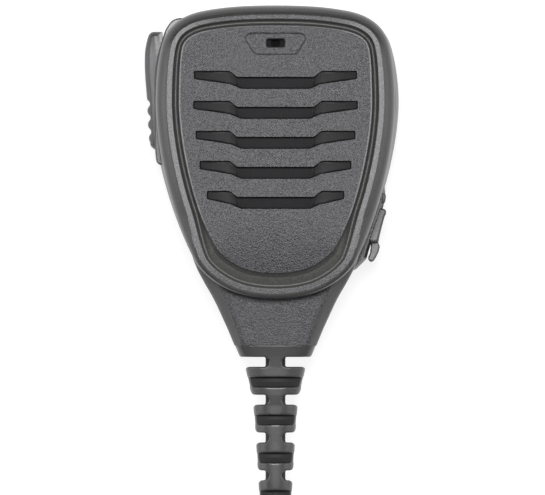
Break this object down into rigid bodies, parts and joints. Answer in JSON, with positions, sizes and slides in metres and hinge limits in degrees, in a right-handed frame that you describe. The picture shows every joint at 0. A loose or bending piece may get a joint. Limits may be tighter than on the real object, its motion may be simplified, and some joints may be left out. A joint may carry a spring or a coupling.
{
  "type": "speaker microphone",
  "caption": "Handheld speaker microphone for a two-way radio, with slotted grille, side talk button, swivel spring clip, ribbed strain relief and a coiled cord to a two-pin plug.",
  "frame": {"origin": "on the clip arm's flat outer face, below the middle of the housing", "axes": "+X to the right seen from the grille, +Y towards the top of the microphone, +Z out of the grille"},
  "size_m": [0.0639, 0.2939, 0.042],
  "materials": {
    "case_plastic": "fine sparkle texture",
    "black_rubber": "matt",
    "grey_rubber": "matt",
    "grille_cloth": "fine weave",
    "foam": "open cell",
    "steel": "plated",
    "dark_steel": "black plated",
    "brass": "plain",
    "cone_film": "pressed film",
    "board": "lacquered laminate",
    "dark_part": "moulded",
    "red_wire": "insulated",
    "white_wire": "insulated",
    "ivory_nylon": "moulded"
  },
  "bodies": {
    "housing": {"front_cover": "case_plastic", "rear_cover": "case_plastic", "housing_seal": "black_rubber", "grille_cloth": "grille_cloth", "speaker_gasket": "foam", "speaker_basket": "steel", "speaker_yoke": "dark_steel", "speaker_magnet": "dark_steel", "magnet_plate": "steel", "mic_boot": "black_rubber", "mic_capsule": "steel", "circuit_board": "board", "audio_chip": "dark_part", "filter_capacitor": "steel", "cord_header": "ivory_nylon", "board_screw_1": "steel", "board_screw_2": "steel", "board_screw_3": "steel", "case_screw_1": "dark_steel", "case_screw_2": "dark_steel", "case_screw_3": "dark_steel", "case_screw_4": "dark_steel", "speaker_lead_black": "black_rubber", "speaker_lead_red": "red_wire", "talk_switch": "dark_part", "accessory_socket": "dark_part", "socket_cover_anchor": "grey_rubber", "cord_clamp": "dark_part", "clamp_screw_1": "steel", "clamp_screw_2": "steel", "clip_screw": "dark_steel", "clip_insert": "brass", "strain_relief": "black_rubber", "cord_lead": "black_rubber", "curly_cord": "black_rubber", "cord_tail": "black_rubber", "core_white": "white_wire", "core_red": "red_wire", "plug_body": "black_rubber", "plug_relief": "black_rubber", "plug_pin_large": "steel", "plug_pin_small": "steel"},
    "talk_button": {"talk_button": "grey_rubber"},
    "switch_plunger": {"switch_plunger": "ivory_nylon"},
    "socket_cover": {"socket_cover": "grey_rubber"},
    "cone": {"speaker_cone": "cone_film", "dust_cap": "cone_film", "voice_coil": "brass"},
    "clip_swivel": {"clip_plate": "case_plastic", "clip_pin": "steel", "clip_spring": "steel", "clip_washer": "steel"},
    "clip_arm": {"clip_arm": "case_plastic"}
  },
  "joints": [
    {"name": "ptt_press", "type": "slide", "parent": "housing", "child": "talk_button", "axis": [1, 0, 0], "range_m": [0, 0.0012], "stiffness_N_per_m": 1500},
    {"name": "switch_press", "type": "slide", "parent": "housing", "child": "switch_plunger", "axis": [1, 0, 0], "range_m": [0, 0.0003]},
    {"name": "socket_cover_hinge", "type": "hinge", "parent": "housing", "child": "socket_cover", "pos_m": [0.02849, -0.00776, 0.0225], "axis": [0, 0, 1], "range_deg": [0, 100], "stiffness_Nm_per_rad": 0.01},
    {"name": "cone_travel", "type": "slide", "parent": "housing", "child": "cone", "axis": [0, 0, 1], "range_m": [-0.0004, 0.0004], "stiffness_N_per_m": 1500},
    {"name": "clip_swivel", "type": "hinge", "parent": "housing", "child": "clip_swivel", "pos_m": [0, 0.008, 0.01], "axis": [0, 0, 1], "continuous": true},
    {"name": "clip_open", "type": "hinge", "parent": "clip_swivel", "child": "clip_arm", "pos_m": [0, 0.015, 0.0056], "axis": [1, 0, 0], "range_deg": [0, 20], "stiffness_Nm_per_rad": 0.5, "springref_deg": -20.05, "deforming": ["clip_spring"]}
  ],
  "couplings": [
    {"joint": "switch_press", "follows": "ptt_press", "ratio": 0.25}
  ]
}
